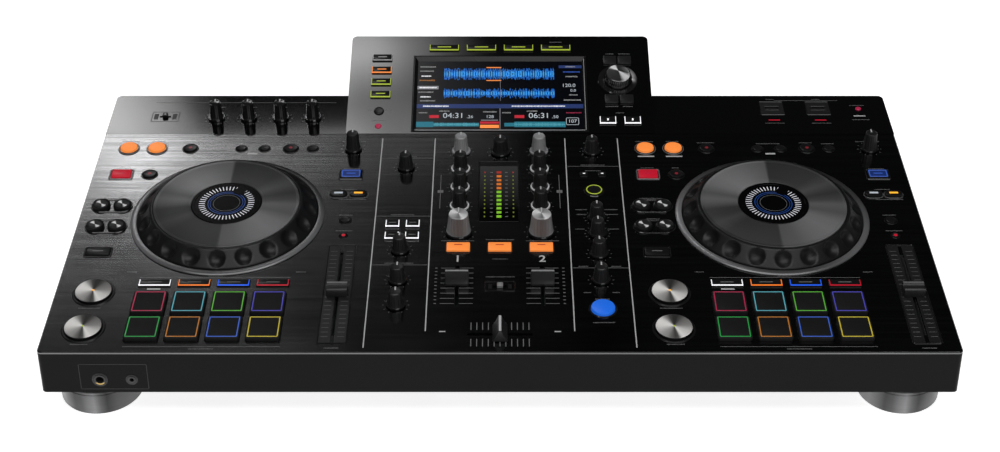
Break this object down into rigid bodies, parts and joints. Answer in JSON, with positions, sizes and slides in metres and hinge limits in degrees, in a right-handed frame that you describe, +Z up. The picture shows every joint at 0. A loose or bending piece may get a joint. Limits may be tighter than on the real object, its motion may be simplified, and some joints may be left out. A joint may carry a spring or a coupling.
{
  "type": "all-in-one dj system",
  "caption": "Wide standalone DJ console with two jog wheels, a central mixer, performance pads, tempo sliders and a raised tilted touch display, on round feet.",
  "frame": {"origin": "centre of the footprint of the whole device, on the floor under its feet", "axes": "+X to the player's right, +Y from the front edge to the display, +Z up"},
  "size_m": [0.728, 0.469, 0.1188],
  "materials": {
    "case": "fine matt",
    "panel": "brushed, anodised black",
    "gloss": "high gloss",
    "screen": "lit display glass",
    "jog_top": "spun, dark anodised",
    "jog_wheel": "satin dark",
    "jog_ring": "satin silver",
    "knob": "satin",
    "trim_knob": "satin",
    "filter_knob": "polished top, dark skirt",
    "button": "satin",
    "pad": "soft matt with lit rim",
    "slider": "satin",
    "foot": "turned, dark",
    "board": "solder mask",
    "module": "sheet metal",
    "socket": "moulded with metal contacts",
    "screw": "black zinc"
  },
  "bodies": {
    "chassis": {"bottom_case": "case", "top_panel": "panel", "rear_strip": "gloss", "display_housing": "case", "display_face": "gloss", "lcd_screen": "screen", "circuit_boards": "board", "control_modules": "module", "power_supply": "module", "connector_sockets": "socket", "feet": "foot", "jog_rings": "jog_ring", "jog_displays": "gloss", "level_meter": "gloss", "case_screws": "screw"},
    "left_jog": {"left_jog_wheel": "jog_wheel", "left_jog_plate": "jog_top"},
    "right_jog": {"right_jog_wheel": "jog_wheel", "right_jog_plate": "jog_top"},
    "mic_one_level_knob": {"mic_one_level_knob": "knob"},
    "mic_two_level_knob": {"mic_two_level_knob": "knob"},
    "mic_high_knob": {"mic_high_knob": "knob"},
    "mic_low_knob": {"mic_low_knob": "knob"},
    "left_jog_feel_knob": {"left_jog_feel_knob": "knob"},
    "right_jog_feel_knob": {"right_jog_feel_knob": "knob"},
    "effect_level_knob": {"effect_level_knob": "knob"},
    "effect_parameter_knob": {"effect_parameter_knob": "knob"},
    "cue_mix_knob": {"cue_mix_knob": "knob"},
    "headphone_level_knob": {"headphone_level_knob": "knob"},
    "left_trim_knob": {"left_trim_knob": "trim_knob"},
    "left_high_knob": {"left_high_knob": "knob"},
    "left_mid_knob": {"left_mid_knob": "knob"},
    "left_low_knob": {"left_low_knob": "knob"},
    "left_filter_knob": {"left_filter_knob": "filter_knob"},
    "right_trim_knob": {"right_trim_knob": "trim_knob"},
    "right_high_knob": {"right_high_knob": "knob"},
    "right_mid_knob": {"right_mid_knob": "knob"},
    "right_low_knob": {"right_low_knob": "knob"},
    "right_filter_knob": {"right_filter_knob": "filter_knob"},
    "master_level_knob": {"master_level_knob": "knob"},
    "booth_level_knob": {"booth_level_knob": "knob"},
    "beat_effect_knob": {"beat_effect_knob": "knob"},
    "effect_channel_knob": {"effect_channel_knob": "knob"},
    "effect_time_knob": {"effect_time_knob": "knob"},
    "effect_depth_knob": {"effect_depth_knob": "knob"},
    "browse_knob": {"browse_knob": "filter_knob"},
    "left_tempo_slider": {"left_tempo_slider": "slider"},
    "right_tempo_slider": {"right_tempo_slider": "slider"},
    "left_channel_fader": {"left_channel_fader": "slider"},
    "right_channel_fader": {"right_channel_fader": "slider"},
    "crossfader": {"crossfader": "slider"},
    "fader_curve_switch": {"fader_curve_switch": "slider"},
    "mic_switch": {"mic_switch": "slider"},
    "left_pads": {"left_pads": "pad"},
    "right_pads": {"right_pads": "pad"},
    "left_deck_buttons": {"left_deck_buttons": "button"},
    "right_deck_buttons": {"right_deck_buttons": "button"},
    "mixer_buttons": {"mixer_buttons": "button"},
    "display_buttons": {"display_buttons": "button"},
    "power_rocker": {"power_rocker": "button"}
  },
  "joints": [
    {"name": "left_jog_spin", "type": "hinge", "parent": "chassis", "child": "left_jog", "pos_m": [-0.2353, -0.05307, 0.07579], "axis": [0, -0.0436, 0.999], "continuous": true},
    {"name": "right_jog_spin", "type": "hinge", "parent": "chassis", "child": "right_jog", "pos_m": [0.2353, -0.05307, 0.07579], "axis": [0, -0.0436, 0.999], "continuous": true},
    {"name": "mic_one_level_knob_turn", "type": "hinge", "parent": "chassis", "child": "mic_one_level_knob", "pos_m": [-0.265, 0.10018, 0.08248], "axis": [0, -0.0436, 0.999], "range_deg": [-150, 150]},
    {"name": "mic_two_level_knob_turn", "type": "hinge", "parent": "chassis", "child": "mic_two_level_knob", "pos_m": [-0.235, 0.10018, 0.08248], "axis": [0, -0.0436, 0.999], "range_deg": [-150, 150]},
    {"name": "mic_high_knob_turn", "type": "hinge", "parent": "chassis", "child": "mic_high_knob", "pos_m": [-0.205, 0.10018, 0.08248], "axis": [0, -0.0436, 0.999], "range_deg": [-150, 150]},
    {"name": "mic_low_knob_turn", "type": "hinge", "parent": "chassis", "child": "mic_low_knob", "pos_m": [-0.175, 0.10018, 0.08248], "axis": [0, -0.0436, 0.999], "range_deg": [-150, 150]},
    {"name": "left_jog_feel_knob_turn", "type": "hinge", "parent": "chassis", "child": "left_jog_feel_knob", "pos_m": [-0.13375, 0.04923, 0.08026], "axis": [0, -0.0436, 0.999], "range_deg": [-150, 150]},
    {"name": "right_jog_feel_knob_turn", "type": "hinge", "parent": "chassis", "child": "right_jog_feel_knob", "pos_m": [0.33685, 0.04923, 0.08026], "axis": [0, -0.0436, 0.999], "range_deg": [-150, 150]},
    {"name": "effect_level_knob_turn", "type": "hinge", "parent": "chassis", "child": "effect_level_knob", "pos_m": [-0.0845, 0.02026, 0.07899], "axis": [0, -0.0436, 0.999], "range_deg": [-150, 150]},
    {"name": "effect_parameter_knob_turn", "type": "hinge", "parent": "chassis", "child": "effect_parameter_knob", "pos_m": [-0.0845, -0.10087, 0.0737], "axis": [0, -0.0436, 0.999], "range_deg": [-150, 150]},
    {"name": "cue_mix_knob_turn", "type": "hinge", "parent": "chassis", "child": "cue_mix_knob", "pos_m": [-0.0845, -0.14109, 0.07195], "axis": [0, -0.0436, 0.999], "range_deg": [-150, 150]},
    {"name": "headphone_level_knob_turn", "type": "hinge", "parent": "chassis", "child": "headphone_level_knob", "pos_m": [-0.0845, -0.17355, 0.07053], "axis": [0, -0.0436, 0.999], "range_deg": [-150, 150]},
    {"name": "left_trim_knob_turn", "type": "hinge", "parent": "chassis", "child": "left_trim_knob", "pos_m": [-0.0353, 0.04474, 0.08006], "axis": [0, -0.0436, 0.999], "range_deg": [-150, 150]},
    {"name": "left_high_knob_turn", "type": "hinge", "parent": "chassis", "child": "left_high_knob", "pos_m": [-0.0353, 0.01676, 0.07884], "axis": [0, -0.0436, 0.999], "range_deg": [-150, 150]},
    {"name": "left_mid_knob_turn", "type": "hinge", "parent": "chassis", "child": "left_mid_knob", "pos_m": [-0.0353, -0.01121, 0.07762], "axis": [0, -0.0436, 0.999], "range_deg": [-150, 150]},
    {"name": "left_low_knob_turn", "type": "hinge", "parent": "chassis", "child": "left_low_knob", "pos_m": [-0.0353, -0.03918, 0.0764], "axis": [0, -0.0436, 0.999], "range_deg": [-150, 150]},
    {"name": "left_filter_knob_turn", "type": "hinge", "parent": "chassis", "child": "left_filter_knob", "pos_m": [-0.0353, -0.07565, 0.0748], "axis": [0, -0.0436, 0.999], "range_deg": [-150, 150]},
    {"name": "right_trim_knob_turn", "type": "hinge", "parent": "chassis", "child": "right_trim_knob", "pos_m": [0.0353, 0.04474, 0.08006], "axis": [0, -0.0436, 0.999], "range_deg": [-150, 150]},
    {"name": "right_high_knob_turn", "type": "hinge", "parent": "chassis", "child": "right_high_knob", "pos_m": [0.0353, 0.01676, 0.07884], "axis": [0, -0.0436, 0.999], "range_deg": [-150, 150]},
    {"name": "right_mid_knob_turn", "type": "hinge", "parent": "chassis", "child": "right_mid_knob", "pos_m": [0.0353, -0.01121, 0.07762], "axis": [0, -0.0436, 0.999], "range_deg": [-150, 150]},
    {"name": "right_low_knob_turn", "type": "hinge", "parent": "chassis", "child": "right_low_knob", "pos_m": [0.0353, -0.03918, 0.0764], "axis": [0, -0.0436, 0.999], "range_deg": [-150, 150]},
    {"name": "right_filter_knob_turn", "type": "hinge", "parent": "chassis", "child": "right_filter_knob", "pos_m": [0.0353, -0.07565, 0.0748], "axis": [0, -0.0436, 0.999], "range_deg": [-150, 150]},
    {"name": "master_level_knob_turn", "type": "hinge", "parent": "chassis", "child": "master_level_knob", "pos_m": [0.0002, 0.04424, 0.08004], "axis": [0, -0.0436, 0.999], "range_deg": [-150, 150]},
    {"name": "booth_level_knob_turn", "type": "hinge", "parent": "chassis", "child": "booth_level_knob", "pos_m": [0.0833, 0.04524, 0.08008], "axis": [0, -0.0436, 0.999], "range_deg": [-150, 150]},
    {"name": "beat_effect_knob_turn", "type": "hinge", "parent": "chassis", "child": "beat_effect_knob", "pos_m": [0.0833, -0.05567, 0.07568], "axis": [0, -0.0436, 0.999], "range_deg": [-135, 135]},
    {"name": "effect_channel_knob_turn", "type": "hinge", "parent": "chassis", "child": "effect_channel_knob", "pos_m": [0.0833, -0.0779, 0.07471], "axis": [0, -0.0436, 0.999], "range_deg": [-135, 135]},
    {"name": "effect_time_knob_turn", "type": "hinge", "parent": "chassis", "child": "effect_time_knob", "pos_m": [0.0833, -0.10612, 0.07347], "axis": [0, -0.0436, 0.999], "continuous": true},
    {"name": "effect_depth_knob_turn", "type": "hinge", "parent": "chassis", "child": "effect_depth_knob", "pos_m": [0.0833, -0.14109, 0.07195], "axis": [0, -0.0436, 0.999], "range_deg": [-150, 150]},
    {"name": "browse_knob_turn", "type": "hinge", "parent": "chassis", "child": "browse_knob", "pos_m": [0.1116, 0.13831, 0.1015], "axis": [0, -0.3007, 0.9537], "continuous": true},
    {"name": "left_tempo_slider_slide", "type": "slide", "parent": "chassis", "child": "left_tempo_slider", "axis": [0, 0.999, 0.0436], "range_m": [-0.05, 0.05]},
    {"name": "right_tempo_slider_slide", "type": "slide", "parent": "chassis", "child": "right_tempo_slider", "axis": [0, 0.999, 0.0436], "range_m": [-0.05, 0.05]},
    {"name": "left_channel_fader_slide", "type": "slide", "parent": "chassis", "child": "left_channel_fader", "axis": [0, 0.999, 0.0436], "range_m": [-0.027, 0.018]},
    {"name": "right_channel_fader_slide", "type": "slide", "parent": "chassis", "child": "right_channel_fader", "axis": [0, 0.999, 0.0436], "range_m": [-0.027, 0.018]},
    {"name": "crossfader_slide", "type": "slide", "parent": "chassis", "child": "crossfader", "axis": [1, 0, 0], "range_m": [-0.0225, 0.0225]},
    {"name": "fader_curve_switch_slide", "type": "slide", "parent": "chassis", "child": "fader_curve_switch", "axis": [1, 0, 0], "range_m": [-0.0035, 0.0035]},
    {"name": "mic_switch_slide", "type": "slide", "parent": "chassis", "child": "mic_switch", "axis": [1, 0, 0], "range_m": [-0.0035, 0.0035]},
    {"name": "left_pads_press", "type": "slide", "parent": "chassis", "child": "left_pads", "axis": [0, 0.0436, -0.999], "range_m": [0, 0.001], "stiffness_N_per_m": 2000, "springref_m": -0.002},
    {"name": "right_pads_press", "type": "slide", "parent": "chassis", "child": "right_pads", "axis": [0, 0.0436, -0.999], "range_m": [0, 0.001], "stiffness_N_per_m": 2000, "springref_m": -0.002},
    {"name": "left_deck_buttons_press", "type": "slide", "parent": "chassis", "child": "left_deck_buttons", "axis": [0, 0.0436, -0.999], "range_m": [0, 0.001], "stiffness_N_per_m": 2000, "springref_m": -0.002},
    {"name": "right_deck_buttons_press", "type": "slide", "parent": "chassis", "child": "right_deck_buttons", "axis": [0, 0.0436, -0.999], "range_m": [0, 0.001], "stiffness_N_per_m": 2000, "springref_m": -0.002},
    {"name": "mixer_buttons_press", "type": "slide", "parent": "chassis", "child": "mixer_buttons", "axis": [0, 0.0436, -0.999], "range_m": [0, 0.001], "stiffness_N_per_m": 2000, "springref_m": -0.002},
    {"name": "display_buttons_press", "type": "slide", "parent": "chassis", "child": "display_buttons", "axis": [0, 0.3007, -0.9537], "range_m": [0, 0.001], "stiffness_N_per_m": 2000, "springref_m": -0.002},
    {"name": "power_rocker_tilt", "type": "hinge", "parent": "chassis", "child": "power_rocker", "pos_m": [0.262, 0.13473, 0.048], "axis": [1, 0, 0], "range_deg": [-7, 7]}
  ]
}
